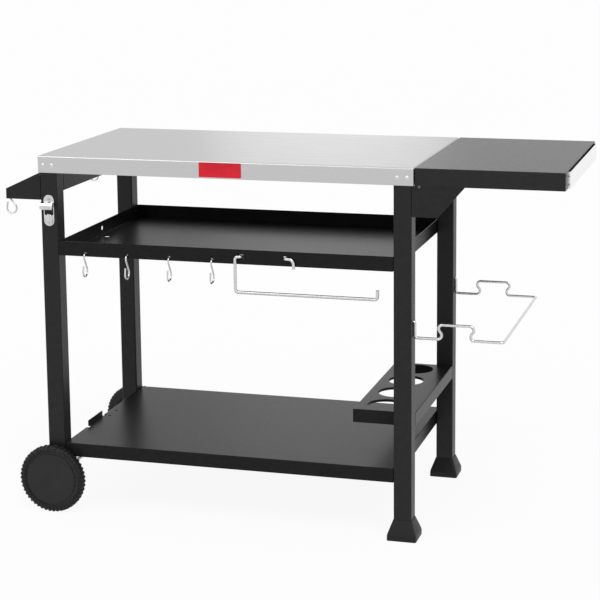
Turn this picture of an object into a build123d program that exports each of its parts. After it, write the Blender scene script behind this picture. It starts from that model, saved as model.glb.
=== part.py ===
"""Grill cart: a stainless worktop on four legs, with tray, shelves, wheels, handle and wire holders."""
import os
from math import acos, atan2, cos, degrees, hypot, radians, sin

from build123d import *

os.makedirs("parts", exist_ok=True)

# Driving dimensions, in millimetres. +X is the cart's right, +Y its back and +Z up.

# Worktop, a pan folded from stainless sheet
table_length = 900.0
table_depth = 520.0
table_height = 860.0
table_lip = 40.0
table_sheet = 1.2
table_bend = 4.0

# Square tube legs, standing inside the worktop's lips
leg_size = 41.5
leg_wall = 1.5
leg_corner = 3.0
leg_end_inset = 5.0
left_leg_bottom = 52.0
slip = 0.3

# Plugs in the left legs and flared feet under the right legs
plug_flange = 3.0
plug_depth = 16.0
plug_play = 0.2
foot_base = 68.5
foot_top = 44.0
foot_height = 46.0
foot_band = 13.0
foot_floor = 6.0
foot_round = 4.0
foot_play = 0.2

# Badge plate on the front lip
badge_length = 101.0
badge_height = 34.0
badge_thickness = 0.8
badge_round = 2.0

# End rails between the legs, under the worktop
apron_sheet = 1.2
apron_drop = 87.0
apron_height = 62.0
apron_flange = 32.0

# Push handle on the left
handle_reach = 88.0
handle_drop = 105.0
handle_end_height = 24.0
handle_leg_height = 65.0
handle_plate = 2.0
handle_flange = 30.0
handle_flange_height = 56.0
grip_diameter = 20.0
grip_wall = 1.5
grip_setback = 12.0
grip_rise = 11.5

# Middle tray, walls up
tray_drop = 236.0
tray_wall = 34.5
tray_sheet = 1.2
tray_bend = 2.0
tray_side_hole = 11.0
tray_side_hole_y = 8.0
tray_side_hole_rise = 17.5
tray_drain = 13.5
tray_drain_inset = 23.0
tray_drain_y = -15.0

# Lower shelf, lips down, with an upturned tab on its left edge
shelf_top = 167.0
shelf_lip = 32.5
shelf_sheet = 1.2
shelf_bend = 2.0
stop_length = 90.0
stop_height = 13.0
stop_y = -70.0
stop_relief = 14.0
stop_relief_depth = 8.0
shelf_hole = 9.0
shelf_hole_inset = 19.0
shelf_hole_y = (-22.0, 24.0)

# Spice rack between the right legs, lips down
rack_length = 147.0
rack_top = 289.0
rack_lip = 31.0
rack_sheet = 1.2
rack_bend = 2.0
rack_hole = 85.0
rack_hole_pitch = 108.0
rack_hole_inset = 65.0
rack_rim = 6.0
rack_rim_wall = 1.6

# Side shelf, its end trim and its gusset brackets
side_gap = 2.0
side_length = 332.0
side_lip = 40.0
side_sheet = 1.2
side_bend = 2.0
ear_radius = 7.0
ear_x = 17.5
ear_drop = 41.5
trim_depth = 7.5
trim_length = 460.0
trim_height = 37.0
trim_drop = 1.5
trim_sheet = 1.2
trim_bend = 2.0
trim_rivet_d = 3.0
trim_rivet_head_d = 5.0
trim_rivet_head = 1.2
trim_rivet_pitch = 18.0
bracket_plate = 2.0
bracket_drop = 110.0
bracket_foot = 58.0
bracket_reach = 119.0
bracket_flange = 30.0
bracket_top_flange = 24.0

# Wheels on an axle rod through the left legs
axle_d = 10.0
axle_outset = 5.0
wheel_d = 164.0
wheel_width = 28.0
wheel_gap = 3.5
tyre_shoulder = 10.0
rim_d = 132.0
rim_wall = 8.0
rim_setback = 5.0
rim_back_setback = 1.0
hub_boss_d = 28.0
hub_boss_length = 18.0
hub_web = 4.0
hub_web_start = 8.0
hub_play = 0.05
cover_d = 122.0
cover_thickness = 2.5
cover_round = 1.2
washer_d = 22.0
washer_play = 0.2
cap_d = 18.0
cap_length = 3.0
cap_gap = 0.3

# S-hooks, those in the tray with a smaller upper bend than those on the grip
hook_wire = 4.0
hook_bend = 12.3
hook_top_bend = 7.5
hook_pitch = 35.0
hook_shift = 2.0
hook_catch = 40.0
hook_lean = 10.0
hook_tip = 12.5
hook_hole = 6.6
hook_seat_gap = 0.3
hook_first_x = -336.5
hook_spacing = 104.5
hook_count = 4
hook_drop = 25.0
grip_hook_inset = 5.5

# Towel holder, bent from one wire
towel_wire = 7.5
towel_jog = 6.5
towel_jog_run = 2.5
towel_run_drop = 16.0
towel_end_x = 173.5
towel_end_drop = 22.5
towel_right_jog = 151.5
towel_left_jog = 48.5
towel_drop_x = 34.5
towel_bar_drop = 82.5
towel_bar_end = 368.5
towel_bar_rise = 21.0
towel_end_bend = 12.0
towel_top_bend = 6.5
towel_jog_bend = 4.5
towel_bar_bend = 7.0
towel_slot_length = 10.4
towel_slot_height = 9.6
towel_slot_round = 3.0
towel_seat_gap = 0.4

# Bag holder, bent from one wire and hooked into the right legs
bag_wire = 6.5
bag_peg_drop = 116.0
bag_peg_length = 14.0
bag_peg_bend = 4.0
bag_arm_drop = 37.0
bag_reach = 204.0
bag_notch_near = 74.0
bag_notch_far = 120.5
bag_notch_flare = 27.0
bag_notch_height = 33.0
bag_notch_bend = 9.0
bag_arm_bend = 6.0
bag_corner_bend = 6.5
bag_hole = 9.1
bag_hole_lift = 0.6

# Bottle opener on the front left leg
opener_width = 26.0
opener_height = 74.0
opener_drop = 129.5
opener_plate = 2.0
opener_edge = 0.8
opener_visor_width = 31.0
opener_visor_reach = 20.0
opener_visor_rise = 5.0
opener_visor_height = 18.0
opener_visor_skin = 3.2
opener_nose_round = 2.0
opener_mouth_width = 22.0
opener_mouth_height = 19.0
opener_mouth_drop = 1.5
opener_mouth_round = 4.0
opener_tongue_drop = 21.0
opener_tongue_width = 20.0
opener_tongue_height = 27.0
opener_tongue_rise = 5.0
opener_tongue_edge = 2.5
opener_screw_rise = 27.5

# Fasteners
bolt_d = 4.8
bolt_length = 8.0
bolt_head_d = 9.0
bolt_head = 2.6
bolt_head_round = 1.6
bolt_play = 0.2
nut_flats = 8.0
nut_height = 3.6
screw_d = 3.5
screw_length = 6.0
screw_head_d = 6.5
screw_head = 1.6
screw_head_round = 1.0
lip_screw_drop = 22.5
lip_screw_spread = 11.0
apron_bolt_rise = (18.0, 46.0)
handle_bolt_rise = (16.0, 44.0)
bracket_bolt_rise = (16.0, 48.0)

# Places that follow from the sizes above
leg_x = table_length / 2 - leg_end_inset - leg_size / 2
leg_outer_x = leg_x + leg_size / 2
leg_inner_x = leg_x - leg_size / 2
leg_face_y = table_depth / 2 - table_sheet - slip
leg_y = leg_face_y - leg_size / 2
leg_inner_y = leg_face_y - leg_size
leg_top = table_height - table_bend
side_start = table_length / 2 + side_gap
side_end = side_start + side_length
apron_bottom = table_height - apron_drop
handle_bottom = table_height - handle_drop
bracket_bottom = table_height - bracket_drop
ear_z = table_height - ear_drop
grip_x = leg_outer_x + handle_reach - grip_setback
grip_z = handle_bottom + grip_rise
grip_hook_bend = grip_diameter / 2 + hook_wire / 2 + hook_seat_gap
left_reach = grip_x + hook_shift + hook_bend + hook_wire / 2
right_reach = side_end + trim_depth
table_x = (left_reach - right_reach) / 2
axle_x = table_x - leg_x - axle_outset
axle_z = wheel_d / 2
wheel_back = leg_face_y + wheel_gap
wheel_face = wheel_back + wheel_width
tray_bottom = table_height - tray_drop
tray_top = tray_bottom + tray_wall
hook_top = tray_top - hook_drop
grip_hook_y = leg_face_y - handle_plate - grip_hook_inset
towel_z = tray_top - towel_run_drop
towel_bar_z = towel_z - towel_bar_drop
bag_peg_z = tray_bottom - bag_peg_drop
bag_arm_z = bag_peg_z - bag_arm_drop
opener_middle_z = table_height - opener_drop
opener_visor_z = opener_middle_z + opener_visor_rise
opener_tongue_z = opener_middle_z - opener_tongue_drop
opener_mouth_z = opener_middle_z - opener_mouth_drop
corners = {
    "front_left": (-1, -1),
    "rear_left": (-1, 1),
    "front_right": (1, -1),
    "rear_right": (1, 1),
}
rows = {"front": -1, "rear": 1}


def leg_seat(side, row, facing, height, shift=0.0):
    """Plane on the face of one leg that looks along facing, shifted sideways along that face."""
    facing_x, facing_y = facing
    seat_x = table_x + side * leg_x + facing_x * leg_size / 2 + shift * abs(facing_y)
    seat_y = row * leg_y + facing_y * leg_size / 2 + shift * abs(facing_x)
    return Plane(origin=(seat_x, seat_y, height), z_dir=(facing_x, facing_y, 0))


def lifted(seats, lift):
    """The same planes, moved outward by what they clamp."""
    return [seat.offset(lift) for seat in seats]


def spread(piece, seats):
    """One copy of a fastener on every seat."""
    with BuildPart() as group:
        with Locations(*seats):
            add(piece)
    return group.part


def folded_pan(center_x, length, depth, bottom, height, sheet, bend, keeps_top):
    """Pan folded from one sheet, its lips down if it keeps its top, or its walls up if not."""
    with BuildPart() as pan:
        with BuildSketch(Plane((center_x, 0, bottom))):
            Rectangle(length, depth)
        extrude(amount=height)
        ends = pan.faces().sort_by(Axis.Z)
        kept = ends[-1] if keeps_top else ends[0]
        fillet(kept.edges() + pan.edges().filter_by(Axis.Z), bend)
        ends = pan.faces().sort_by(Axis.Z)
        offset(amount=-sheet, openings=ends[0] if keeps_top else ends[-1])
    return pan.part


def finish(piece, name):
    """Name a node and write it."""
    piece.label = name
    export_step(piece, f"parts/{name}.step")


# Where each fastener meets a leg
lip_seats = []
tray_seats = []
shelf_seats = []
apron_seats = []
rack_seats = []
handle_seats = []
bracket_seats = []
shelf_bolt_z = shelf_top - shelf_lip / 2
tray_bolt_z = tray_bottom + tray_wall / 2
rack_bolt_z = rack_top - rack_lip / 2
for side, row in corners.values():
    for shift in (-lip_screw_spread, lip_screw_spread):
        lip_seats.append(leg_seat(side, row, (0, row), table_height - lip_screw_drop, shift))
    tray_seats.append(leg_seat(side, row, (-side, 0), tray_bolt_z))
    shelf_seats.append(leg_seat(side, row, (-side, 0), shelf_bolt_z))
    for rise in apron_bolt_rise:
        apron_seats.append(leg_seat(side, row, (0, -row), apron_bottom + rise))
    if side < 0:
        for rise in handle_bolt_rise:
            handle_seats.append(leg_seat(side, row, (-1, 0), handle_bottom + rise))
    else:
        rack_seats.append(leg_seat(side, row, (0, -row), rack_bolt_z))
        for rise in bracket_bolt_rise:
            bracket_seats.append(leg_seat(side, row, (1, 0), bracket_bottom + rise))
leg_seats = lip_seats + tray_seats + shelf_seats + apron_seats + rack_seats + handle_seats + bracket_seats
opener_x = table_x - leg_x
opener_seats = []
for rise in (-opener_screw_rise, opener_screw_rise):
    opener_seats.append(leg_seat(-1, -1, (0, -1), opener_middle_z + rise))
bolt_hole_r = bolt_d / 2 + bolt_play
screw_hole_r = screw_d / 2 + bolt_play

# Fasteners that repeat: a dome head bolt, its nut and a small screw
with BuildPart() as bolt:
    Cylinder(bolt_head_d / 2, bolt_head, align=(Align.CENTER, Align.CENTER, Align.MIN))
    fillet(bolt.edges().group_by(Axis.Z)[-1], bolt_head_round)
    Cylinder(bolt_d / 2, bolt_length, align=(Align.CENTER, Align.CENTER, Align.MAX))
with BuildPart() as nut:
    with BuildSketch():
        RegularPolygon(nut_flats / 2, 6, major_radius=False)
        Circle(bolt_hole_r, mode=Mode.SUBTRACT)
    extrude(amount=-nut_height)
with BuildPart() as screw:
    Cylinder(screw_head_d / 2, screw_head, align=(Align.CENTER, Align.CENTER, Align.MIN))
    fillet(screw.edges().group_by(Axis.Z)[-1], screw_head_round)
    Cylinder(screw_d / 2, screw_length, align=(Align.CENTER, Align.CENTER, Align.MAX))
with BuildPart() as rivet:
    Cylinder(trim_rivet_head_d / 2, trim_rivet_head, align=(Align.CENTER, Align.CENTER, Align.MIN))
    fillet(rivet.edges().group_by(Axis.Z)[-1], trim_rivet_head / 2)
    Cylinder(trim_rivet_d / 2, 2 * trim_sheet + slip, align=(Align.CENTER, Align.CENTER, Align.MAX))

# Worktop, lip screwed to the outer face of every leg
with BuildPart() as table_top:
    add(folded_pan(table_x, table_length, table_depth, table_height - table_lip, table_lip,
                   table_sheet, table_bend, True))
    with Locations(*lifted(lip_seats, 2 * table_sheet)):
        Hole(bolt_hole_r, depth=4 * table_sheet)
finish(table_top.part, "table_top")

# Badge plate, bonded to the front lip
badge_z = table_height - table_lip / 2
with BuildPart() as badge_plate:
    with BuildSketch(Plane(origin=(table_x, -table_depth / 2, badge_z), x_dir=(1, 0, 0), z_dir=(0, -1, 0))):
        RectangleRounded(badge_length, badge_height, badge_round)
    extrude(amount=badge_thickness)
finish(badge_plate.part, "badge_plate")

# Legs, the left pair ending above the floor on the axle and the right pair standing in the feet
for name, (side, row) in corners.items():
    leg_bottom = left_leg_bottom if side < 0 else foot_floor
    own_seats = [seat for seat in leg_seats
                 if (seat.origin.X - table_x) * side > 0 and seat.origin.Y * row > 0]
    with BuildPart() as leg:
        with BuildSketch(Plane((table_x + side * leg_x, row * leg_y, leg_bottom))):
            RectangleRounded(leg_size, leg_size, leg_corner)
            RectangleRounded(leg_size - 2 * leg_wall, leg_size - 2 * leg_wall, leg_corner - leg_wall,
                             mode=Mode.SUBTRACT)
        extrude(amount=leg_top - leg_bottom)
        with Locations(*lifted(own_seats, leg_wall)):
            Hole(bolt_hole_r, depth=3 * leg_wall)
        if side < 0:
            with Locations(Location((axle_x, row * leg_y, axle_z), (90, 0, 0))):
                Cylinder(axle_d / 2 + bolt_play, 2 * leg_size, mode=Mode.SUBTRACT)
        else:
            with Locations(leg_seat(side, row, (1, 0), bag_peg_z + bag_hole_lift).offset(leg_wall)):
                Hole(bag_hole / 2, depth=3 * leg_wall)
        if name == "front_left":
            with Locations(*lifted(opener_seats, leg_wall)):
                Hole(screw_hole_r, depth=3 * leg_wall)
    finish(leg.part, f"leg_{name}")

# Plugs closing the lower ends of the left legs
plug_core = leg_size - 2 * leg_wall - 2 * plug_play
with BuildPart() as leg_plugs:
    for row in rows.values():
        with BuildSketch(Plane((table_x - leg_x, row * leg_y, left_leg_bottom))):
            RectangleRounded(leg_size, leg_size, leg_corner)
        extrude(amount=-plug_flange)
        with BuildSketch(Plane((table_x - leg_x, row * leg_y, left_leg_bottom))):
            RectangleRounded(plug_core, plug_core, leg_corner - leg_wall)
        extrude(amount=plug_depth)
finish(leg_plugs.part, "leg_plugs")

# Flared feet, a leg standing in the socket of each
foot_socket = leg_size + 2 * foot_play
for name, row in rows.items():
    with BuildPart() as foot:
        with BuildSketch(Plane((table_x + leg_x, row * leg_y, 0))):
            RectangleRounded(foot_base, foot_base, foot_round)
        extrude(amount=foot_band)
        with BuildSketch(Plane((table_x + leg_x, row * leg_y, foot_band))):
            RectangleRounded(foot_base, foot_base, foot_round)
        with BuildSketch(Plane((table_x + leg_x, row * leg_y, foot_height))):
            RectangleRounded(foot_top, foot_top, foot_round)
        loft()
        with BuildSketch(Plane((table_x + leg_x, row * leg_y, foot_floor))):
            RectangleRounded(foot_socket, foot_socket, leg_corner)
        extrude(amount=foot_height, mode=Mode.SUBTRACT)
    finish(foot.part, f"foot_{name}")

# End rails, each a web between two legs with a flange bolted to either leg
apron_length = 2 * (leg_inner_y - slip)
for name, side in {"left": -1, "right": 1}.items():
    own_seats = [seat for seat in apron_seats if (seat.origin.X - table_x) * side > 0]
    web_x = table_x + side * (leg_inner_x + apron_sheet / 2)
    flange_x = table_x + side * (leg_inner_x + apron_flange / 2)
    with BuildPart() as apron:
        with BuildSketch(Plane((0, 0, apron_bottom))):
            with Locations((web_x, 0)):
                Rectangle(apron_sheet, apron_length)
            with Locations((flange_x, apron_length / 2 - apron_sheet / 2),
                           (flange_x, apron_sheet / 2 - apron_length / 2)):
                Rectangle(apron_flange, apron_sheet)
        extrude(amount=apron_height)
        with Locations(*lifted(own_seats, 3 * apron_sheet)):
            Hole(bolt_hole_r, depth=4 * apron_sheet)
    finish(apron.part, f"{name}_apron")

# Push handle: a tapering plate beside each left leg, with a flange bolted to the leg's outer face
handle_x = table_x - leg_outer_x
for name, row in rows.items():
    own_seats = [seat for seat in handle_seats if seat.origin.Y * row > 0]
    flange_y = row * (leg_face_y - handle_flange / 2)
    with BuildPart() as handle:
        with BuildSketch(Plane(origin=(handle_x, row * leg_face_y, handle_bottom), x_dir=(1, 0, 0),
                               z_dir=(0, -1, 0))):
            Polygon((0, 0), (0, handle_leg_height), (-handle_reach, handle_end_height),
                    (-handle_reach, 0), align=None)
        extrude(amount=row * handle_plate)
        with Locations((handle_x - handle_plate / 2, flange_y, handle_bottom)):
            Box(handle_plate, handle_flange, handle_flange_height,
                align=(Align.CENTER, Align.CENTER, Align.MIN))
        with Locations(*lifted(own_seats, 2 * handle_plate)):
            Hole(bolt_hole_r, depth=3 * handle_plate)
    finish(handle.part, f"handle_plate_{name}")

# Grip, a tube between the two plates
grip_length = 2 * (leg_face_y - handle_plate)
with BuildPart() as handle_grip:
    with Locations(Location((table_x - grip_x, 0, grip_z), (90, 0, 0))):
        Cylinder(grip_diameter / 2, grip_length)
        Cylinder(grip_diameter / 2 - grip_wall, grip_length, mode=Mode.SUBTRACT)
finish(handle_grip.part, "handle_grip")

# Middle tray between the legs, with holes in its front wall for the hooks and the towel holder
tray_length = 2 * (leg_inner_x - slip)
tray_face = Plane(origin=(table_x, -leg_face_y, 0), x_dir=(1, 0, 0), z_dir=(0, -1, 0))
hook_xs = [hook_first_x + hook_spacing * index for index in range(hook_count)]
hook_hole_z = hook_top - hook_wire - hook_seat_gap + hook_hole / 2
towel_slot_z = towel_z - towel_wire / 2 - towel_seat_gap + towel_slot_height / 2
with BuildPart() as middle_tray:
    add(folded_pan(table_x, tray_length, 2 * leg_face_y, tray_bottom, tray_wall,
                   tray_sheet, tray_bend, False))
    with Locations(*lifted(tray_seats, 3 * tray_sheet)):
        Hole(bolt_hole_r, depth=4 * tray_sheet)
    with BuildSketch(tray_face):
        with Locations(*[(hook_x, hook_hole_z) for hook_x in hook_xs]):
            Circle(hook_hole / 2)
        with Locations((towel_left_jog, towel_slot_z), (towel_right_jog, towel_slot_z)):
            RectangleRounded(towel_slot_length, towel_slot_height, towel_slot_round)
    extrude(amount=-2 * tray_sheet, mode=Mode.SUBTRACT)
    with Locations(Plane(origin=(table_x - tray_length / 2, tray_side_hole_y, tray_bottom + tray_side_hole_rise),
                         z_dir=(-1, 0, 0))):
        Hole(tray_side_hole / 2, depth=2 * tray_sheet)
    with Locations((table_x - tray_length / 2 + tray_drain_inset, tray_drain_y, tray_bottom + 2 * tray_sheet)):
        Hole(tray_drain / 2, depth=3 * tray_sheet)
finish(middle_tray.part, "middle_tray")

# Lower shelf, with a stop bent up from its left edge
shelf_length = 2 * (leg_inner_x - slip)
shelf_left = table_x - shelf_length / 2
relief_length = stop_length + 2 * stop_relief
with BuildPart() as lower_shelf:
    add(folded_pan(table_x, shelf_length, 2 * leg_face_y, shelf_top - shelf_lip, shelf_lip,
                   shelf_sheet, shelf_bend, True))
    with Locations(*lifted(shelf_seats, 3 * shelf_sheet)):
        Hole(bolt_hole_r, depth=4 * shelf_sheet)
    with Locations((shelf_left, stop_y, shelf_top - shelf_lip)):
        Box(2 * stop_relief_depth, relief_length, shelf_lip, mode=Mode.SUBTRACT,
            align=(Align.CENTER, Align.CENTER, Align.MIN))
    with Locations((shelf_left, stop_y, shelf_top - shelf_sheet)):
        Box(stop_relief_depth, stop_length, shelf_sheet, align=(Align.MIN, Align.CENTER, Align.MIN))
        Box(shelf_sheet, stop_length, shelf_sheet + stop_height, align=(Align.MIN, Align.CENTER, Align.MIN))
    for hole_y in shelf_hole_y:
        with Locations((shelf_left + shelf_hole_inset, hole_y, shelf_top)):
            Hole(shelf_hole / 2, depth=2 * shelf_sheet)
finish(lower_shelf.part, "lower_shelf")

# Spice rack, its front and rear lips bolted to the right legs
rack_depth = 2 * (leg_inner_y - slip)
rack_x = table_x + leg_outer_x - rack_length / 2
rack_hole_x = rack_x - rack_length / 2 + rack_hole_inset
rack_holes = []
for step in (-1.5, -0.5, 0.5, 1.5):
    rack_holes.append((rack_hole_x, step * rack_hole_pitch, rack_top))
with BuildPart() as spice_rack:
    add(folded_pan(rack_x, rack_length, rack_depth, rack_top - rack_lip, rack_lip,
                   rack_sheet, rack_bend, True))
    with Locations(*lifted(rack_seats, 3 * rack_sheet)):
        Hole(bolt_hole_r, depth=4 * rack_sheet)
    with Locations(*rack_holes):
        Cylinder(rack_hole / 2 + rack_rim_wall, rack_rim, align=(Align.CENTER, Align.CENTER, Align.MAX))
        Hole(rack_hole / 2, depth=2 * rack_rim)
    hole_edges = spice_rack.edges().filter_by(GeomType.CIRCLE).filter_by(lambda edge: edge.radius == rack_hole / 2)
    fillet(hole_edges.group_by(Axis.Z)[-1], rack_sheet / 2)
finish(spice_rack.part, "spice_rack")

# Side shelf, with an ear below each long lip for its screw and two ears on its end for the trim
side_x = table_x + (side_start + side_end) / 2
side_end_x = table_x + side_end
trim_z = table_height - trim_drop - trim_height / 2
trim_ear_y = trim_length / 2 - 1.5 * trim_sheet
trim_ear_reach = side_sheet / 2 + trim_depth - trim_sheet - slip
trim_ear_height = trim_height - 2 * trim_bend
tab_seats = []
for row in rows.values():
    tab_seats.append(Plane(origin=(table_x + leg_outer_x + ear_x, row * table_depth / 2, ear_z),
                           z_dir=(0, row, 0)))
rivet_seats = []
for row in rows.values():
    for step in (-0.5, 0.5):
        rivet_seats.append(Plane(origin=(side_end_x + trim_depth / 2, row * trim_length / 2,
                                         trim_z + step * trim_rivet_pitch), z_dir=(0, row, 0)))
rivet_hole_r = trim_rivet_d / 2 + bolt_play / 2
with BuildPart() as side_shelf:
    add(folded_pan(side_x, side_length, table_depth, table_height - side_lip, side_lip,
                   side_sheet, side_bend, True))
    for row in rows.values():
        with BuildSketch(Plane(origin=(table_x + leg_outer_x + ear_x, row * table_depth / 2, ear_z),
                               x_dir=(1, 0, 0), z_dir=(0, -1, 0))):
            Circle(ear_radius)
            Rectangle(2 * ear_radius, table_height - side_lip + side_sheet - ear_z,
                      align=(Align.CENTER, Align.MIN))
        extrude(amount=row * side_sheet)
        with Locations((side_end_x - side_sheet / 2, row * trim_ear_y, trim_z)):
            Box(trim_ear_reach, trim_sheet, trim_ear_height, align=(Align.MIN, Align.CENTER, Align.CENTER))
    with Locations(*lifted(tab_seats, side_sheet)):
        Hole(screw_hole_r, depth=3 * side_sheet)
    with Locations(*lifted(rivet_seats, trim_sheet)):
        Hole(rivet_hole_r, depth=4 * trim_sheet)
finish(side_shelf.part, "side_shelf")

# End trim, a stainless strip standing off the side shelf and riveted to the shelf's ears
trim_return_y = trim_length / 2 - trim_sheet / 2
with BuildPart() as shelf_trim:
    with BuildSketch(Plane((side_end_x, 0, trim_z - trim_height / 2))):
        with Locations((trim_depth - trim_sheet / 2, 0)):
            Rectangle(trim_sheet, trim_length)
        with Locations((trim_depth / 2, trim_return_y), (trim_depth / 2, -trim_return_y)):
            Rectangle(trim_depth, trim_sheet)
    extrude(amount=trim_height)
    fillet(shelf_trim.edges().filter_by(Axis.Z).group_by(Axis.X)[-1], trim_bend)
    with Locations(*lifted(rivet_seats, trim_sheet)):
        Hole(rivet_hole_r, depth=3 * trim_sheet)
finish(shelf_trim.part, "shelf_trim")
finish(spread(rivet.part, rivet_seats), "trim_rivets")

# Gusset brackets, bolted to the right legs and reaching up inside the side shelf
bracket_x = table_x + leg_outer_x
bracket_inset = side_start - leg_outer_x + side_bend + slip
bracket_rest = table_height - side_lip - slip - bracket_bottom
bracket_height = table_height - side_sheet - bracket_bottom
for name, row in rows.items():
    own_seats = [seat for seat in bracket_seats if seat.origin.Y * row > 0]
    own_tabs = [seat for seat in tab_seats if seat.origin.Y * row > 0]
    with BuildPart() as bracket:
        with BuildSketch(Plane(origin=(bracket_x, row * leg_face_y, bracket_bottom), x_dir=(1, 0, 0),
                               z_dir=(0, -1, 0))):
            Polygon((0, 0), (bracket_foot, 0), (bracket_reach, bracket_rest), (bracket_reach, bracket_height),
                    (bracket_inset, bracket_height), (bracket_inset, bracket_rest), (0, bracket_rest), align=None)
        extrude(amount=row * bracket_plate)
        with Locations((bracket_x, row * leg_face_y, bracket_bottom)):
            Box(bracket_plate, bracket_flange, bracket_rest,
                align=(Align.MIN, Align.MIN if row < 0 else Align.MAX, Align.MIN))
        with Locations((bracket_x + bracket_inset, row * leg_face_y, bracket_bottom + bracket_height)):
            Box(bracket_reach - bracket_inset, bracket_top_flange, bracket_plate,
                align=(Align.MIN, Align.MIN if row < 0 else Align.MAX, Align.MAX))
        outer_edges = bracket.edges().filter_by(Axis.X).group_by(Axis.Z)[-1].sort_by(Axis.Y)
        fillet(outer_edges[0] if row < 0 else outer_edges[-1], bracket_plate * 0.9)
        with Locations(*lifted(own_seats, 2 * bracket_plate)):
            Hole(bolt_hole_r, depth=3 * bracket_plate)
        with Locations(*own_tabs):
            Hole(screw_hole_r, depth=3 * bracket_plate)
    finish(bracket.part, f"bracket_{name}")

# Axle rod, with a spacer against each leg and a push-on cap outside each hub
cap_start = wheel_back + hub_boss_length + cap_gap
axle_half = cap_start + cap_length * 0.8
with BuildPart() as axle:
    with Locations(Location((axle_x, 0, axle_z), (90, 0, 0))):
        Cylinder(axle_d / 2, 2 * axle_half)
finish(axle.part, "axle")
washer_thickness = wheel_gap - cap_gap
with BuildPart() as axle_washers:
    for row in rows.values():
        with BuildSketch(Plane(origin=(axle_x, row * leg_face_y, axle_z), z_dir=(0, row, 0))):
            Circle(washer_d / 2)
            Circle(axle_d / 2 + washer_play, mode=Mode.SUBTRACT)
        extrude(amount=washer_thickness)
finish(axle_washers.part, "axle_washers")
with BuildPart() as axle_caps:
    for row in rows.values():
        with BuildSketch(Plane(origin=(axle_x, row * cap_start, axle_z), z_dir=(0, row, 0))):
            Circle(cap_d / 2)
            Circle(axle_d / 2 + hub_play, mode=Mode.SUBTRACT)
        extrude(amount=cap_length)
finish(axle_caps.part, "axle_caps")

# Wheels: tyre, hub and flat cover, each turned about the axle
wheel_axis = Axis((axle_x, 0, axle_z), (0, 1, 0))
wheel_middle = wheel_back + wheel_width / 2
rim_r = rim_d / 2
rim_face = wheel_face - rim_setback
rim_middle = (wheel_back + rim_back_setback + rim_face) / 2
rim_width = rim_face - wheel_back - rim_back_setback
hub_bore_r = axle_d / 2 + hub_play
hub_boss_wall = hub_boss_d / 2 - hub_bore_r
hub_web_height = rim_r - rim_wall / 2 - hub_boss_d / 2 + hub_boss_wall / 2
for name, row in rows.items():
    section = Plane(origin=(axle_x, 0, axle_z), x_dir=(0, row, 0), z_dir=(row, 0, 0))
    with BuildPart() as tyre:
        with BuildSketch(section) as tread:
            with Locations((wheel_middle, rim_r)):
                Rectangle(wheel_width, wheel_d / 2 - rim_r, align=(Align.CENTER, Align.MIN))
            fillet(tread.vertices().group_by(Axis.Y)[-1], tyre_shoulder)
        revolve(axis=wheel_axis)
    finish(tyre.part, f"{name}_tyre")
    with BuildPart() as hub:
        with BuildSketch(section):
            with Locations((wheel_back + hub_boss_length / 2, hub_bore_r)):
                Rectangle(hub_boss_length, hub_boss_wall, align=(Align.CENTER, Align.MIN))
            with Locations((wheel_back + hub_web_start + hub_web / 2, hub_boss_d / 2 - hub_boss_wall / 2)):
                Rectangle(hub_web, hub_web_height, align=(Align.CENTER, Align.MIN))
            with Locations((rim_middle, rim_r)):
                Rectangle(rim_width, rim_wall, align=(Align.CENTER, Align.MAX))
        revolve(axis=wheel_axis)
    finish(hub.part, f"{name}_hub")
    with BuildPart() as cover:
        with BuildSketch(Plane(origin=(axle_x, row * rim_face, axle_z), z_dir=(0, row, 0))):
            Circle(cover_d / 2)
        extrude(amount=cover_thickness)
        fillet(cover.edges().sort_by(Axis.Y)[0 if row < 0 else -1], cover_round)
    finish(cover.part, f"{name}_hub_cover")


def s_hook(seat, top_bend):
    """S-hook in the plane of seat: origin at the upper bend's centre, x towards the open side, y up."""
    slant = atan2(-hook_pitch, hook_shift) + acos((top_bend + hook_bend) / hypot(hook_pitch, hook_shift))
    slant_deg = degrees(slant)
    leaning = radians(hook_lean)
    lower_x = hook_shift - hook_bend * cos(slant)
    lower_y = -hook_pitch - hook_bend * sin(slant)
    tip_x = hook_shift + hook_bend * cos(leaning)
    tip_y = hook_bend * sin(leaning) - hook_pitch
    with BuildPart() as hook:
        with BuildLine(seat):
            upper = CenterArc((0, 0), top_bend, 90 + hook_catch, slant_deg - 90 - hook_catch)
            Line((top_bend * cos(slant), top_bend * sin(slant)), (lower_x, lower_y))
            CenterArc((hook_shift, -hook_pitch), hook_bend, 180 + slant_deg, 180 + hook_lean - slant_deg)
            Line((tip_x, tip_y), (tip_x - hook_tip * sin(leaning), tip_y + hook_tip * cos(leaning)))
        with BuildSketch(Plane(origin=upper @ 0, z_dir=upper % 0)):
            Circle(hook_wire / 2)
        sweep()
    return hook.part


# Hooks in the tray's front wall, then those on the grip
tray_wall_y = -(leg_face_y - tray_sheet / 2)
hook_center_z = hook_top - hook_wire / 2 - hook_top_bend
for index, hook_x in enumerate(hook_xs):
    hook_seat = Plane(origin=(table_x + hook_x, tray_wall_y, hook_center_z), x_dir=(0, -1, 0),
                      z_dir=(-1, 0, 0))
    finish(s_hook(hook_seat, hook_top_bend), f"hook_{index + 1}")
for name, row in rows.items():
    hook_seat = Plane(origin=(table_x - grip_x, row * grip_hook_y, grip_z), x_dir=(-1, 0, 0), z_dir=(0, 1, 0))
    finish(s_hook(hook_seat, grip_hook_bend), f"grip_hook_{name}")

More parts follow.
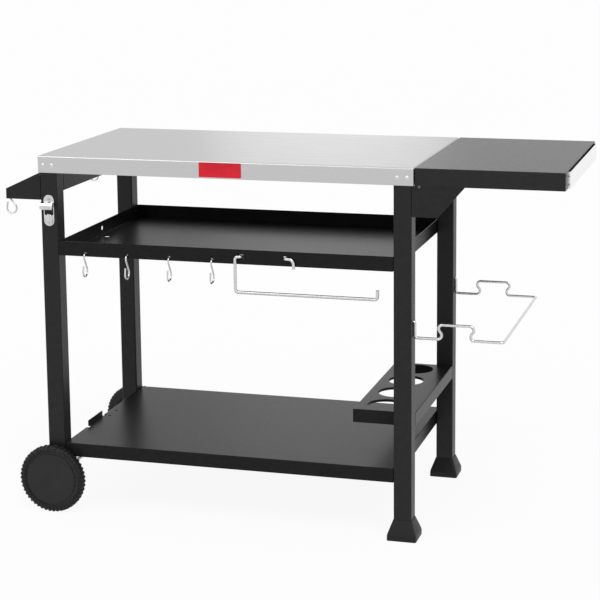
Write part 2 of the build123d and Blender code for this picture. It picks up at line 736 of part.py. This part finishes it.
# Towel holder, one wire that passes through the front wall twice
towel_front = tray_wall_y - towel_jog
towel_back = tray_wall_y + towel_jog
towel_points = [
    (table_x + towel_end_x, towel_front, towel_z - towel_end_drop),
    (table_x + towel_end_x, towel_front, towel_z),
    (table_x + towel_right_jog + towel_jog_run, towel_front, towel_z),
    (table_x + towel_right_jog - towel_jog_run, towel_back, towel_z),
    (table_x + towel_left_jog + towel_jog_run, towel_back, towel_z),
    (table_x + towel_left_jog - towel_jog_run, towel_front, towel_z),
    (table_x + towel_drop_x, towel_front, towel_z),
    (table_x + towel_drop_x, towel_front, towel_bar_z),
    (table_x + towel_bar_end, towel_front, towel_bar_z),
    (table_x + towel_bar_end, towel_front, towel_bar_z + towel_bar_rise),
]
towel_bends = [towel_end_bend] + 4 * [towel_jog_bend] + [towel_top_bend] + 2 * [towel_bar_bend]
with BuildPart() as towel_holder:
    with BuildLine():
        towel_path = FilletPolyline(*towel_points, radius=towel_bends)
    with BuildSketch(Plane(origin=towel_path @ 0, z_dir=towel_path % 0)):
        Circle(towel_wire / 2)
    sweep()
finish(towel_holder.part, "towel_holder")

# Bag holder, one wire from peg to peg with a notch bent up in either arm
bag_x = table_x + leg_outer_x
bag_side = [
    (bag_x - bag_peg_length, bag_peg_z),
    (bag_x + slip + bag_wire / 2, bag_peg_z),
    (bag_x + slip + bag_wire / 2, bag_arm_z),
    (bag_x + bag_notch_near, bag_arm_z),
    (bag_x + bag_notch_near - bag_notch_flare, bag_arm_z + bag_notch_height),
    (bag_x + bag_notch_far + bag_notch_flare, bag_arm_z + bag_notch_height),
    (bag_x + bag_notch_far, bag_arm_z),
    (bag_x + bag_reach, bag_arm_z),
]
bag_points = [(x, -leg_y, z) for x, z in bag_side] + [(x, leg_y, z) for x, z in reversed(bag_side)]
bag_arm = [bag_peg_bend, bag_arm_bend] + 4 * [bag_notch_bend] + [bag_corner_bend]
with BuildPart() as bag_holder:
    with BuildLine():
        bag_path = FilletPolyline(*bag_points, radius=bag_arm + bag_arm[::-1])
    with BuildSketch(Plane(origin=bag_path @ 0, z_dir=bag_path % 0)):
        Circle(bag_wire / 2)
    sweep()
finish(bag_holder.part, "bag_holder")

# Bottle opener, a stamped plate with a visor over the cap and a tongue below it
opener_face = Plane(origin=(opener_x, -leg_face_y, 0), x_dir=(1, 0, 0), z_dir=(0, -1, 0))
opener_side = Plane(origin=(opener_x, -leg_face_y, opener_visor_z), x_dir=(0, -1, 0), z_dir=(-1, 0, 0))
visor_inner = opener_visor_reach - opener_visor_skin
with BuildPart() as bottle_opener:
    with BuildSketch(opener_face):
        with Locations((0, opener_middle_z)):
            SlotOverall(opener_height, opener_width, rotation=90)
        with Locations((0, opener_mouth_z)):
            RectangleRounded(opener_mouth_width, opener_mouth_height, opener_mouth_round, mode=Mode.SUBTRACT)
    extrude(amount=opener_plate)
    fillet(bottle_opener.faces().sort_by(Axis.Y)[0].edges(), opener_edge)
    with BuildSketch(opener_face):
        with Locations((0, opener_tongue_z)):
            Ellipse(opener_tongue_width / 2, opener_tongue_height / 2)
    extrude(amount=opener_tongue_rise)
    fillet(bottle_opener.faces().sort_by(Axis.Y)[0].edges(), opener_tongue_edge)
    with BuildSketch(opener_side) as visor:
        Polygon((0, opener_visor_height), (visor_inner, opener_visor_height * 0.8),
                (opener_visor_reach, opener_visor_height * 0.5), (opener_visor_reach, 0),
                (visor_inner, 0), (visor_inner, opener_visor_height * 0.45),
                (0, opener_visor_height - opener_visor_skin * 1.3), align=None)
        nose = visor.vertices().sort_by(Axis.Y)[:4].sort_by(Axis.Z)[-2:]
        fillet(nose, opener_nose_round)
    extrude(amount=opener_visor_width / 2, both=True)
    with Locations(*lifted(opener_seats, opener_tongue_rise * 1.5)):
        Hole(screw_hole_r, depth=opener_tongue_rise * 2)
finish(bottle_opener.part, "bottle_opener")

# Screws, bolts and the nuts inside the legs
opener_low = [seat.offset(opener_tongue_rise) for seat in opener_seats[:1]]
opener_high = [seat.offset(opener_plate) for seat in opener_seats[1:]]
finish(spread(screw.part, opener_low + opener_high), "opener_screws")
finish(spread(screw.part, tab_seats), "shelf_tab_screws")
finish(spread(bolt.part, lifted(lip_seats, slip + table_sheet)), "lip_screws")
finish(spread(bolt.part, lifted(tray_seats, slip + tray_sheet)), "tray_bolts")
finish(spread(bolt.part, lifted(shelf_seats, slip + shelf_sheet)), "shelf_bolts")
finish(spread(bolt.part, lifted(apron_seats, slip + apron_sheet)), "apron_bolts")
finish(spread(bolt.part, lifted(rack_seats, slip + rack_sheet)), "rack_bolts")
finish(spread(bolt.part, lifted(handle_seats, handle_plate)), "handle_bolts")
finish(spread(bolt.part, lifted(bracket_seats, bracket_plate)), "bracket_bolts")
finish(spread(nut.part, lifted(leg_seats, -leg_wall)), "leg_nuts")
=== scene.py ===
import math

import bmesh
import bpy
from mathutils import Matrix, Vector


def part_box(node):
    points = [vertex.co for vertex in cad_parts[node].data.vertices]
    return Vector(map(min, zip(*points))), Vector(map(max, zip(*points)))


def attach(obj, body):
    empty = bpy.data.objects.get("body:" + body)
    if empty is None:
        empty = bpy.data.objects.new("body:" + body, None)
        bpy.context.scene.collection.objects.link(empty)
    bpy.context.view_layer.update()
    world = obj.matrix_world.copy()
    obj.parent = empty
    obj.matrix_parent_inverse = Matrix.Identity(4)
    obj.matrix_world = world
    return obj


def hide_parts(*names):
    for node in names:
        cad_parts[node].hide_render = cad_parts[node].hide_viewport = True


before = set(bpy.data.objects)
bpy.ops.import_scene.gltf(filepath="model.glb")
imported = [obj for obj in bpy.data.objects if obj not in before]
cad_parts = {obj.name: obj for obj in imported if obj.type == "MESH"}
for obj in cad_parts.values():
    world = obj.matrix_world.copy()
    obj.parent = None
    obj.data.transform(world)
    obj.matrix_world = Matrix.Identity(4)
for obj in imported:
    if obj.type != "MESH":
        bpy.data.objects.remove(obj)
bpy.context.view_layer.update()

# Legs, end rails, handle, brackets: square steel tube and folded steel sheet, powder coated satin black.
# The coat levels to a fine orange peel, a little duller where it is thin. Everything bolts to the legs.
coat_dark = (0.0090, 0.0090, 0.0092, 1.0)
coat_light = (0.0125, 0.0125, 0.0127, 1.0)


def new_finish(name):
    finish = bpy.data.materials.new(name)
    finish.use_nodes = True
    return finish, finish.node_tree, finish.node_tree.nodes["Principled BSDF"]


def grain(tree, scale, detail=3.0, stretch=(1.0, 1.0, 1.0)):
    place = tree.nodes.new("ShaderNodeTexCoord")
    layout = tree.nodes.new("ShaderNodeMapping")
    layout.inputs["Scale"].default_value = stretch
    noise = tree.nodes.new("ShaderNodeTexNoise")
    noise.inputs["Scale"].default_value = scale
    noise.inputs["Detail"].default_value = detail
    tree.links.new(place.outputs["Object"], layout.inputs["Vector"])
    tree.links.new(layout.outputs["Vector"], noise.inputs["Vector"])
    return noise.outputs["Fac"]


def tint(tree, shader, amount, dark, light):
    ramp = tree.nodes.new("ShaderNodeValToRGB")
    ramp.color_ramp.elements[0].position = 0.3
    ramp.color_ramp.elements[0].color = dark
    ramp.color_ramp.elements[1].position = 0.7
    ramp.color_ramp.elements[1].color = light
    tree.links.new(amount, ramp.inputs["Fac"])
    tree.links.new(ramp.outputs["Color"], shader.inputs["Base Color"])


def dull(tree, shader, amount, low, high):
    spread = tree.nodes.new("ShaderNodeMapRange")
    spread.inputs["From Min"].default_value = 0.3
    spread.inputs["From Max"].default_value = 0.7
    spread.inputs["To Min"].default_value = low
    spread.inputs["To Max"].default_value = high
    tree.links.new(amount, spread.inputs["Value"])
    tree.links.new(spread.outputs["Result"], shader.inputs["Roughness"])


def relief(tree, shader, amount, depth, strength):
    bump = tree.nodes.new("ShaderNodeBump")
    bump.inputs["Strength"].default_value = strength
    bump.inputs["Distance"].default_value = depth
    tree.links.new(amount, bump.inputs["Height"])
    tree.links.new(bump.outputs["Normal"], shader.inputs["Normal"])


def powder_coat(name, low, high, specular):
    finish, tree, shader = new_finish(name)
    tint(tree, shader, grain(tree, 90.0), coat_dark, coat_light)
    dull(tree, shader, grain(tree, 160.0), low, high)
    relief(tree, shader, grain(tree, 900.0, 2.0), 0.0002, 0.12)
    shader.inputs["Specular IOR Level"].default_value = specular
    return finish


def dress(finish, *names):
    for name in names:
        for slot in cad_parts[name].material_slots:
            slot.material = finish


frame_coat = powder_coat("frame_coat", 0.40, 0.44, 0.24)
dress(frame_coat, "leg_front_left", "leg_front_right", "leg_rear_left", "leg_rear_right")
dress(frame_coat, "left_apron", "right_apron", "handle_plate_front", "handle_plate_rear", "handle_grip")
dress(frame_coat, "bracket_front", "bracket_rear")

# Middle tray, lower shelf and spice rack: folded steel sheet pans in the same black coat.
# Each is bolted between the legs, and its wide floor takes a longer, smoother sheen than the tubes do.
pan_coat = powder_coat("pan_coat", 0.30, 0.34, 0.10)
dress(pan_coat, "middle_tray", "lower_shelf", "spice_rack")

# Side shelf: one folded sheet pan on two gusset brackets, screwed through ears below its long lips.
# Its top is coated last and levels out smoother than the rest, so it takes a brighter gloss.
side_coat = powder_coat("side_coat", 0.30, 0.34, 0.26)
dress(side_coat, "side_shelf")

# Flared feet under the right legs: moulded black plastic with a straight band on the floor.
# Each is a hollow sleeve pushed over the end of the square tube.
plastic_dark = (0.0080, 0.0080, 0.0084, 1.0)
plastic_light = (0.0120, 0.0120, 0.0124, 1.0)
foot_top_size = 0.044
foot_band = 0.013
foot_sleeve = 0.0011
foot_well = 0.012
foot_corner = 0.0045
foot_knee = 0.004
level_slack = 0.0005
weld_distance = 1e-6
crease_angle = math.radians(35.0)


def moulded(name, low, high, specular):
    finish, tree, shader = new_finish(name)
    tint(tree, shader, grain(tree, 30.0), plastic_dark, plastic_light)
    dull(tree, shader, grain(tree, 80.0), low, high)
    relief(tree, shader, grain(tree, 1400.0, 2.0), 0.0002, 0.18)
    shader.inputs["Specular IOR Level"].default_value = specular
    return finish


def hand_over(name, shape, finish, body, slot, *nodes):
    bmesh.ops.remove_doubles(shape, verts=shape.verts, dist=weld_distance)
    bmesh.ops.recalc_face_normals(shape, faces=shape.faces)
    mesh = bpy.data.meshes.new(name)
    shape.to_mesh(mesh)
    shape.free()
    mesh.materials.append(finish)
    mesh.shade_smooth()
    mesh.set_sharp_from_angle(angle=crease_angle)
    piece = bpy.data.objects.new(name, mesh)
    bpy.context.scene.collection.objects.link(piece)
    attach(piece, body)
    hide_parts(*nodes)


black_plastic = moulded("black_plastic", 0.42, 0.52, 0.22)
for node in ("foot_front", "foot_rear"):
    low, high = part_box(node)
    centre = (low + high) / 2.0
    shape = bmesh.new()
    bmesh.ops.create_grid(shape, x_segments=1, y_segments=1, size=(high.x - low.x) / 2.0)
    sole = shape.faces[:]
    band = bmesh.ops.extrude_face_region(shape, geom=sole)["geom"]
    ring = [v for v in band if isinstance(v, bmesh.types.BMVert)]
    bmesh.ops.translate(shape, verts=ring, vec=(0.0, 0.0, foot_band))
    top = [f for f in band if isinstance(f, bmesh.types.BMFace)]
    flare = bmesh.ops.extrude_face_region(shape, geom=top)["geom"]
    ring = [v for v in flare if isinstance(v, bmesh.types.BMVert)]
    bmesh.ops.translate(shape, verts=ring, vec=(0.0, 0.0, high.z - low.z - foot_band))
    shrink = foot_top_size / (high.x - low.x)
    bmesh.ops.scale(shape, verts=ring, vec=(shrink, shrink, 1.0))
    bmesh.ops.delete(shape, geom=top, context="FACES_ONLY")
    corners = [e for e in shape.edges if abs(e.verts[0].co.z - e.verts[1].co.z) > level_slack]
    bmesh.ops.bevel(shape, geom=corners, offset=foot_corner, offset_type="OFFSET", segments=5, profile=0.5,
                    affect="EDGES", material=-1)
    knee = [e for e in shape.edges if all(abs(v.co.z - foot_band) < level_slack for v in e.verts)]
    bmesh.ops.bevel(shape, geom=knee, offset=foot_knee, offset_type="OFFSET", segments=4, profile=0.5,
                    affect="EDGES", material=-1)
    crown = [f for f in shape.faces if f.calc_center_median().z > high.z - low.z - level_slack]
    bmesh.ops.inset_region(shape, faces=crown, thickness=foot_sleeve, use_even_offset=True)
    well = bmesh.ops.extrude_face_region(shape, geom=crown)["geom"]
    ring = [v for v in well if isinstance(v, bmesh.types.BMVert)]
    bmesh.ops.translate(shape, verts=ring, vec=(0.0, 0.0, -foot_well))
    bmesh.ops.delete(shape, geom=crown, context="FACES")
    bmesh.ops.translate(shape, verts=shape.verts, vec=(centre.x, centre.y, low.z))
    hand_over(node + "_moulding", shape, black_plastic, "cart", "black_plastic", node)

# Plugs in the open lower ends of the left legs: black plastic caps of the same moulding as the feet.
# Each is pressed into the end of the square tube.
dress(black_plastic, "leg_plugs")

# Axle rod, spacer washers and push-on caps: zinc plated steel, dull and slightly blotched.
# The rod passes through both left legs and the caps hold the wheels on.
zinc_dark = (0.42, 0.42, 0.43, 1.0)
zinc_light = (0.55, 0.55, 0.56, 1.0)


def bare_metal(name, blotch, dark, light, sheen, low, high, pores, strength):
    finish, tree, shader = new_finish(name)
    tint(tree, shader, grain(tree, blotch), dark, light)
    dull(tree, shader, grain(tree, sheen), low, high)
    relief(tree, shader, grain(tree, pores, 2.0), 0.0001, strength)
    shader.inputs["Metallic"].default_value = 1.0
    return finish


zinc = bare_metal("zinc", 120.0, zinc_dark, zinc_light, 260.0, 0.24, 0.36, 1500.0, 0.1)
dress(zinc, "axle", "axle_washers", "axle_caps")

# Wheel tyres: moulded black rubber with a row of cross lugs that wrap over the outer shoulder.
# Each tyre is stretched over a plastic hub.
rubber_dark = (0.0070, 0.0070, 0.0070, 1.0)
rubber_light = (0.0125, 0.0125, 0.0120, 1.0)
lug_count = 48
lug_height = 0.0021
lug_slope = 0.0008
outer_half = 0.012
shoulder_reach = 0.068
tread_reach = 0.0765
tyre_section = [
    (0.0012, 0.0661), (0.0006, 0.0705), (0.0030, 0.0756), (0.0065, 0.0787), (0.0100, 0.0798),
    (0.0180, 0.0798), (0.0226, 0.0787), (0.0249, 0.0756), (0.0256, 0.0712), (0.0253, 0.0675),
    (0.0249, 0.0661),
]
rubber, tree, shader = new_finish("rubber")
tint(tree, shader, grain(tree, 60.0), rubber_dark, rubber_light)
dull(tree, shader, grain(tree, 120.0), 0.52, 0.66)
relief(tree, shader, grain(tree, 1100.0, 3.0), 0.0003, 0.25)
shader.inputs["Specular IOR Level"].default_value = 0.3
hub_plastic = moulded("hub_plastic", 0.34, 0.42, 0.3)


def turned(section, low, high, outward):
    middle = (low + high) / 2.0
    inner_face = low.y if outward > 0 else high.y
    centre = Vector((middle.x, inner_face, middle.z))
    shape = bmesh.new()
    verts = [shape.verts.new(centre + Vector((0.0, outward * t, r))) for t, r in section]
    edges = [shape.edges.new(pair) for pair in zip(verts, verts[1:])]
    return shape, centre, verts, edges


for node, body, outward in (("front_tyre", "front_wheel", -1.0), ("rear_tyre", "rear_wheel", 1.0)):
    low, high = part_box(node)
    steps = lug_count * 2
    shape, centre, verts, edges = turned(tyre_section, low, high, outward)
    edges.append(shape.edges.new((verts[-1], verts[0])))
    bmesh.ops.spin(shape, geom=verts + edges, cent=centre, axis=(0.0, 1.0, 0.0), angle=math.tau, steps=steps,
                   use_merge=True)
    bmesh.ops.recalc_face_normals(shape, faces=shape.faces)
    lugs = []
    for face in shape.faces:
        arm = face.calc_center_median() - centre
        column = int(math.floor(math.atan2(arm.x, arm.z) / math.tau * steps + 0.5))
        reach = math.hypot(arm.x, arm.z)
        outer = outward * arm.y > outer_half
        if column % 2 == 0 and reach > (shoulder_reach if outer else tread_reach):
            lugs.append(face)
    bmesh.ops.inset_region(shape, faces=lugs, thickness=lug_slope, depth=lug_height, use_even_offset=True)
    hand_over(node + "_lugged", shape, rubber, body, "tyre", node)

# Wheel hubs and their flat covers: moulded black plastic, satin, with a softly rounded edge.
# A cover clips over the end of the axle and hides its cap.
dress(hub_plastic, "front_hub", "rear_hub")
cover_steps = 96
cover_section = [
    (0.0252, 0.0000), (0.0252, 0.0300), (0.0254, 0.0480), (0.0255, 0.0560), (0.0254, 0.0590),
    (0.0250, 0.0602), (0.0243, 0.0608), (0.0235, 0.0610), (0.0230, 0.0610), (0.0230, 0.0000),
]
for node, tyre, body, outward in (("front_hub_cover", "front_tyre", "front_wheel", -1.0),
                                  ("rear_hub_cover", "rear_tyre", "rear_wheel", 1.0)):
    low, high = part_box(tyre)
    shape, centre, verts, edges = turned(cover_section, low, high, outward)
    bmesh.ops.spin(shape, geom=verts + edges, cent=centre, axis=(0.0, 1.0, 0.0), angle=math.tau,
                   steps=cover_steps, use_merge=True)
    hand_over(node + "_disc", shape, hub_plastic, body, "black_plastic", node)

# Worktop: one brushed stainless sheet, folded down at all four edges and screwed to the legs.
# The brushing runs along the cart, so the sheen breaks into fine lines from end to end.
steel_dark = (0.545, 0.545, 0.548, 1.0)
steel_light = (0.590, 0.590, 0.593, 1.0)
edge_shade = (0.82, 0.82, 0.82, 1.0)
brushed, tree, shader = new_finish("brushed_stainless")
brushing = grain(tree, 1.0, 4.0, (6.0, 1100.0, 1100.0))
tint(tree, shader, brushing, steel_dark, steel_light)
dull(tree, shader, brushing, 0.24, 0.36)
relief(tree, shader, brushing, 0.0001, 0.06)
shader.inputs["Specular Tint"].default_value = edge_shade
shader.inputs["Metallic"].default_value = 1.0
dress(brushed, "table_top")

# End trim of the side shelf: a folded strip of stainless, given a near-white metal colour far above the
# worktop's steel as a painted highlight for the strong light it catches.
# It stands off the shelf's outer end, with a short return at each side riveted to an ear of the shelf.
# Painted highlight: these near-white metal colours stand in for the bright light on the trim, not for a
# brighter steel.
trim_highlight_dark = (0.86, 0.86, 0.862, 1.0)
trim_highlight_light = (0.93, 0.93, 0.932, 1.0)
trim_painted_highlight, tree, shader = new_finish("trim_painted_highlight_stainless")
rolling = grain(tree, 1.0, 3.0, (900.0, 5.0, 900.0))
tint(tree, shader, rolling, trim_highlight_dark, trim_highlight_light)
dull(tree, shader, rolling, 0.20, 0.28)
relief(tree, shader, rolling, 0.0001, 0.04)
shader.inputs["Metallic"].default_value = 1.0
dress(trim_painted_highlight, "shelf_trim")

# Badge plate on the front lip: thin red enamelled sheet with rounded corners and a raised border.
# It is glued to the worktop's front and left bare.
badge_deep = (0.64, 0.010, 0.026, 1.0)
badge_bright = (0.70, 0.014, 0.032, 1.0)
enamel, tree, shader = new_finish("badge_enamel")
tint(tree, shader, grain(tree, 40.0), badge_deep, badge_bright)
dull(tree, shader, grain(tree, 90.0), 0.26, 0.34)
relief(tree, shader, grain(tree, 700.0, 2.0), 0.0001, 0.08)
shader.inputs["Specular IOR Level"].default_value = 0.2
shader.inputs["Coat Weight"].default_value = 0.05
badge_corner = 0.002
badge_steps = ((0.0005, -0.0002), (0.0011, 0.0), (0.0004, -0.0002))
low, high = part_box("badge_plate")
centre = (low + high) / 2.0
thickness = high.y - low.y
shape = bmesh.new()
bmesh.ops.create_grid(shape, x_segments=1, y_segments=1, size=0.5)
bmesh.ops.scale(shape, verts=shape.verts, vec=(high.x - low.x, high.z - low.z, 1.0))
bmesh.ops.bevel(shape, geom=shape.verts[:], offset=badge_corner, offset_type="OFFSET", segments=4,
                profile=0.5, affect="VERTICES", material=-1)
raised = bmesh.ops.extrude_face_region(shape, geom=shape.faces[:])["geom"]
ring = [v for v in raised if isinstance(v, bmesh.types.BMVert)]
bmesh.ops.translate(shape, verts=ring, vec=(0.0, 0.0, thickness))
front = [f for f in raised if isinstance(f, bmesh.types.BMFace)]
for border, step in badge_steps:
    bmesh.ops.inset_region(shape, faces=front, thickness=border, depth=step, use_even_offset=True)
upright = Matrix.Rotation(math.pi / 2.0, 3, "X")
bmesh.ops.rotate(shape, verts=shape.verts, cent=(0.0, 0.0, 0.0), matrix=upright)
bmesh.ops.translate(shape, verts=shape.verts, vec=(centre.x, high.y, centre.z))
hand_over("badge_plate_bare", shape, enamel, "cart", "badge_red", "badge_plate")

# Fasteners: black coated bolts through the legs, bright screws in the worktop's lips, rivets and nuts.
# Screws and bolts have a low domed head with a cross recess, pressed cold from steel wire.
head_radius = 0.0045
head_height = 0.0026
shank_radius = 0.0024
far_from_middle = 0.0055
dome_fall = 0.6
recess_depth = 0.55
recess_half_width = 0.1
recess_half_length = 0.5
shank_heads = 3.0
bolt_black, tree, shader = new_finish("bolt_black")
tint(tree, shader, grain(tree, 90.0), coat_dark, coat_light)
dull(tree, shader, grain(tree, 200.0), 0.3, 0.42)
relief(tree, shader, grain(tree, 1200.0, 2.0), 0.0002, 0.12)
shader.inputs["Specular IOR Level"].default_value = 0.35
dress(zinc, "trim_rivets", "leg_nuts", "opener_screws")
tab_dark = (0.10, 0.10, 0.102, 1.0)
tab_light = (0.15, 0.15, 0.152, 1.0)
screw_dull = bare_metal("dull_screws", 200.0, tab_dark, tab_light, 400.0, 0.30, 0.42, 1600.0, 0.08)
dress(screw_dull, "shelf_tab_screws")
screw_dark = (0.64, 0.64, 0.645, 1.0)
screw_light = (0.74, 0.74, 0.745, 1.0)
screw_bright = bare_metal("bright_screws", 200.0, screw_dark, screw_light, 400.0, 0.22, 0.32, 1600.0, 0.08)


def fastener_places(node):
    shape = bmesh.new()
    shape.from_mesh(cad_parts[node].data)
    bmesh.ops.remove_doubles(shape, verts=shape.verts, dist=weld_distance)
    left = set(shape.verts)
    places = []
    while left:
        reached = [left.pop()]
        for vert in reached:
            for edge in vert.link_edges:
                other = edge.other_vert(vert)
                if other in left:
                    left.discard(other)
                    reached.append(other)
        low = Vector([min(v.co[i] for v in reached) for i in range(3)])
        high = Vector([max(v.co[i] for v in reached) for i in range(3)])
        along = max(range(3), key=lambda i: high[i] - low[i])
        middle = (low + high) / 2.0
        wide = [v.co[along] for v in reached if (v.co - middle).length > far_from_middle]
        outward = Vector((0.0, 0.0, 0.0))
        outward[along] = 1.0 if sum(wide) / len(wide) > middle[along] else -1.0
        tip = middle.copy()
        tip[along] = high[along] if outward[along] > 0 else low[along]
        places.append((tip, outward))
    shape.free()
    return places


def cross_head(shape, tip, outward):
    head = bmesh.new()
    bmesh.ops.create_grid(head, x_segments=5, y_segments=5, size=1.0)
    recess = []
    for face in head.faces:
        middle = face.calc_center_median()
        if min(abs(middle.x), abs(middle.y)) < recess_half_width and middle.length < recess_half_length:
            recess.append(face)
    for vert in head.verts:
        span = max(abs(vert.co.x), abs(vert.co.y)) / max(math.hypot(vert.co.x, vert.co.y), 1e-9)
        vert.co.x *= span * head_radius
        vert.co.y *= span * head_radius
        vert.co.z = head_height * (1.0 - dome_fall * (vert.co.x ** 2 + vert.co.y ** 2) / head_radius ** 2)
    sunk = bmesh.ops.extrude_face_region(head, geom=recess)["geom"]
    ring = [v for v in sunk if isinstance(v, bmesh.types.BMVert)]
    bmesh.ops.translate(head, verts=ring, vec=(0.0, 0.0, -recess_depth * head_height))
    bmesh.ops.delete(head, geom=recess, context="FACES")
    for drop, reach in ((0.0, head_radius), (0.0, shank_radius), (-shank_heads * head_height, shank_radius)):
        rim = [e for e in head.edges if e.is_boundary]
        skirt = bmesh.ops.extrude_edge_only(head, edges=rim)["geom"]
        for vert in [v for v in skirt if isinstance(v, bmesh.types.BMVert)]:
            flat = Vector((vert.co.x, vert.co.y)).normalized() * reach
            vert.co = (flat.x, flat.y, drop)
    bmesh.ops.holes_fill(head, edges=[e for e in head.edges if e.is_boundary], sides=0)
    facing = outward.to_track_quat("Z", "Y").to_matrix().to_4x4()
    place = Matrix.Translation(tip - outward * head_height) @ facing
    bmesh.ops.transform(head, matrix=place, verts=head.verts)
    part = bpy.data.meshes.new("head")
    head.to_mesh(part)
    head.free()
    shape.from_mesh(part)
    bpy.data.meshes.remove(part)


for node in ("lip_screws", "apron_bolts", "tray_bolts", "shelf_bolts", "rack_bolts", "handle_bolts",
             "bracket_bolts"):
    shape = bmesh.new()
    for tip, outward in fastener_places(node):
        cross_head(shape, tip, outward)
    bright = node == "lip_screws"
    hand_over(node + "_cross_head", shape, screw_bright if bright else bolt_black, "cart",
              "zinc" if bright else "black_fastener", node)

# Wire hooks and holders: bent steel wire, nickel plated, bright with fine drawing lines.
# The hooks hang in holes of the tray's front wall and on the grip, the holders in their own holes.
wire_dark = (0.56, 0.56, 0.565, 1.0)
wire_light = (0.68, 0.68, 0.685, 1.0)
plated = bare_metal("plated_wire", 160.0, wire_dark, wire_light, 300.0, 0.14, 0.24, 1800.0, 0.06)
dress(plated, "hook_1", "hook_2", "hook_3", "hook_4", "grip_hook_front", "grip_hook_rear")
dress(plated, "towel_holder", "bag_holder")

# Bottle opener on the front left leg: one stamped stainless sheet with a hooded lip, polished.
# Two plated screws hold it to the tube, above and below its mouth.
polished = bare_metal("polished_stainless", 100.0, wire_dark, wire_light, 220.0, 0.16, 0.26, 900.0, 0.08)
dress(polished, "bottle_opener")

# Studio: a wide pale paper floor under an even white surround, with two broad lamps from above.
# The paper shows nearly white to the eye and keeps the cart's soft shadow.
floor_white = (0.92, 0.92, 0.92, 1.0)
floor_half = 30.0
floor_glow_share = 0.92
surround_level = 0.55
lamp_spread = math.radians(30.0)
lamps = (("key_lamp", 1.1, 38.0, 35.0), ("fill_lamp", 0.45, 50.0, -40.0))
shape = bmesh.new()
bmesh.ops.create_grid(shape, x_segments=2, y_segments=2, size=floor_half)
mesh = bpy.data.meshes.new("studio_floor")
shape.to_mesh(mesh)
shape.free()
floor = bpy.data.objects.new("studio_floor", mesh)
bpy.context.scene.collection.objects.link(floor)


def seen_directly(tree):
    path = tree.nodes.new("ShaderNodeLightPath")
    first = tree.nodes.new("ShaderNodeMath")
    first.operation = "MAXIMUM"
    second = tree.nodes.new("ShaderNodeMath")
    second.operation = "MAXIMUM"
    tree.links.new(path.outputs["Is Camera Ray"], first.inputs[0])
    tree.links.new(path.outputs["Is Glossy Ray"], first.inputs[1])
    tree.links.new(first.outputs["Value"], second.inputs[0])
    tree.links.new(path.outputs["Is Transmission Ray"], second.inputs[1])
    return second.outputs["Value"]


paper, tree, shader = new_finish("floor_paper")
shader.inputs["Roughness"].default_value = 0.9
shader.inputs["Specular IOR Level"].default_value = 0.0
shader.inputs["Base Color"].default_value = floor_white
glow = tree.nodes.new("ShaderNodeEmission")
glow.inputs["Strength"].default_value = 1.0
share = tree.nodes.new("ShaderNodeMath")
share.operation = "MULTIPLY"
share.inputs[1].default_value = floor_glow_share
blend = tree.nodes.new("ShaderNodeMixShader")
tree.links.new(seen_directly(tree), share.inputs[0])
tree.links.new(share.outputs["Value"], blend.inputs["Fac"])
tree.links.new(shader.outputs["BSDF"], blend.inputs[1])
tree.links.new(glow.outputs["Emission"], blend.inputs[2])
tree.links.new(blend.outputs["Shader"], tree.nodes["Material Output"].inputs["Surface"])
mesh.materials.append(paper)

world = bpy.data.worlds.new("studio")
bpy.context.scene.world = world
world.use_nodes = True
tree = world.node_tree
level = tree.nodes.new("ShaderNodeMapRange")
level.inputs["To Min"].default_value = surround_level
level.inputs["To Max"].default_value = 1.0
tree.links.new(seen_directly(tree), level.inputs["Value"])
tree.nodes["Background"].inputs["Color"].default_value = (1.0, 1.0, 1.0, 1.0)
tree.links.new(level.outputs["Result"], tree.nodes["Background"].inputs["Strength"])

for name, strength, tilt, turn in lamps:
    lamp = bpy.data.lights.new(name, "SUN")
    lamp.energy = strength
    lamp.angle = lamp_spread
    holder = bpy.data.objects.new(name, lamp)
    holder.rotation_euler = (math.radians(tilt), 0.0, math.radians(turn))
    bpy.context.scene.collection.objects.link(holder)

# Low softbox behind the cart: a weak oval lamp, turned to the back of the worktop.
# The brushed steel spreads its mirror image into a broad sheen.
sheen_spot = Vector((0.02, 0.15, 0.86))
sheen_place = Vector((-1.02, 3.98, 1.40))
softbox_width = 1.15
softbox_height = 0.5
softbox_power = 1.35
softbox = bpy.data.lights.new("softbox", "AREA")
softbox.shape = "ELLIPSE"
softbox.size = softbox_width
softbox.size_y = softbox_height
softbox.energy = softbox_power
holder = bpy.data.objects.new("softbox", softbox)
holder.location = sheen_place
holder.rotation_euler = (sheen_spot - sheen_place).to_track_quat("-Z", "Y").to_euler()
holder.visible_camera = False
bpy.context.scene.collection.objects.link(holder)

# Camera: at the photograph's viewing angle, a little above the worktop and to the cart's right.
# A long lens, shifted down by a sixth of the frame as the photograph's framing needs.
photo_width = 600.0
focal_length = 1793.7
film_width = 36.0
lens_drop = 1.0 / 6.0
view_limit = 100.0
camera_place = (1.1671, -4.0756, 1.4550)
camera_turn = math.radians(16.154)
camera_tilt = math.radians(90.0 - 9.658)
camera_roll = math.radians(-0.537)
camera_data = bpy.data.cameras.new("camera")
camera_data.sensor_width = film_width
camera_data.lens = focal_length * film_width / photo_width
camera_data.shift_y = -lens_drop
camera_data.clip_end = view_limit
camera = bpy.data.objects.new("camera", camera_data)
camera.location = camera_place
turn = Matrix.Rotation(camera_turn, 3, "Z")
tilt = Matrix.Rotation(camera_tilt, 3, "X")
roll = Matrix.Rotation(camera_roll, 3, "Z")
camera.rotation_euler = (turn @ tilt @ roll).to_euler()
bpy.context.scene.collection.objects.link(camera)
bpy.context.scene.camera = camera
bpy.context.scene.view_settings.view_transform = "Standard"
